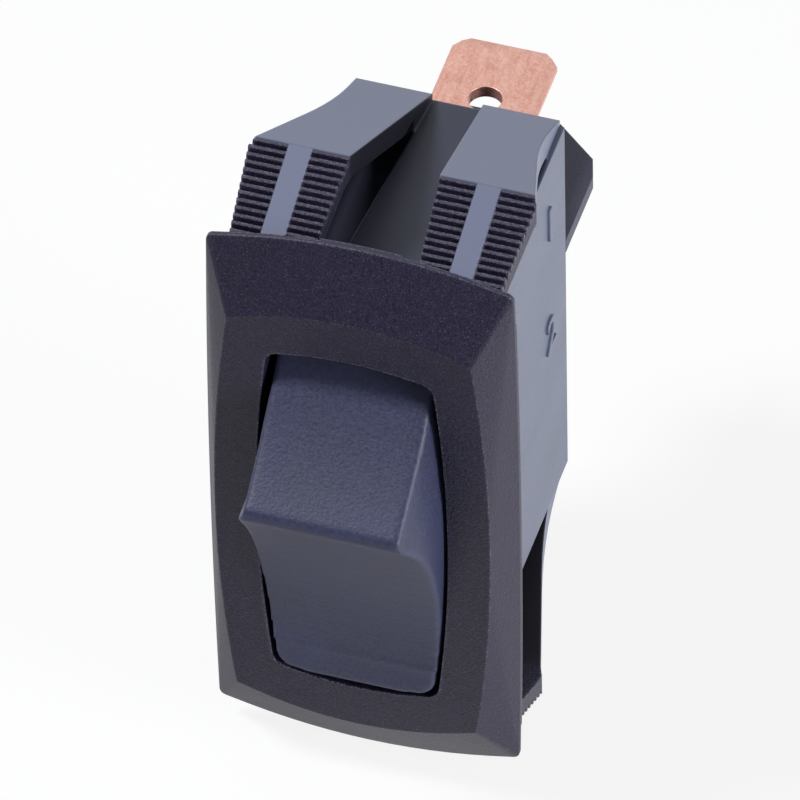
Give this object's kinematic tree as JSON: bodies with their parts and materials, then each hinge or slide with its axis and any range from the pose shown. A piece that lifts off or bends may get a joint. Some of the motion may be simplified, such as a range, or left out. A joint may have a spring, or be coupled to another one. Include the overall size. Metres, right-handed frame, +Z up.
{
  "type": "panel rocker switch",
  "caption": "Snap-in panel rocker switch: bowed picture-frame bezel, ridged rocker, serrated snap wings, plunger and tilting contact blade, tab terminals",
  "frame": {"origin": "centre of the bezel's back face, the face that seats on the panel", "axes": "+X across the switch's width, +Y into the panel towards the terminals, +Z up along the switch's height; the rocker faces -Y"},
  "size_m": [0.0186, 0.0369, 0.0408],
  "materials": {
    "housing_nylon": "near-black moulded nylon with a fine grain",
    "rocker_plastic": "near-black moulded plastic, fine satin grain",
    "base_nylon": "near-black moulded nylon",
    "plunger_nylon": "natural nylon, smooth",
    "spring_steel": "drawn spring wire",
    "copper_alloy": "rolled copper alloy strip, satin",
    "silver": "silver contact heads, satin"
  },
  "bodies": {
    "case": {"housing": "housing_nylon", "terminal_base": "base_nylon", "terminal_upper": "copper_alloy", "terminal_centre": "copper_alloy", "fixed_contact_upper": "silver"},
    "rocker": {"rocker": "rocker_plastic", "plunger_spring": "spring_steel"},
    "plunger": {"plunger": "plunger_nylon"},
    "blade": {"contact_blade": "copper_alloy", "moving_contact_upper": "silver"}
  },
  "joints": [
    {"name": "rocker_swing", "type": "hinge", "parent": "case", "child": "rocker", "pos_m": [0, -0.0011, 0], "axis": [1, 0, 0], "range_deg": [0, 12]},
    {"name": "plunger_travel", "type": "slide", "parent": "rocker", "child": "plunger", "axis": [0, -0.9945, 0.1045], "range_m": [0, 0.0003], "stiffness_N_per_m": 900, "springref_m": -0.002, "deforming": ["plunger_spring"]},
    {"name": "blade_tilt", "type": "hinge", "parent": "case", "child": "blade", "pos_m": [0, 0.01018, 0], "axis": [1, 0, 0], "range_deg": [-10, 0]}
  ],
  "couplings": [
    {"joint": "blade_tilt", "follows": "rocker_swing", "ratio": -0.83333}
  ]
}
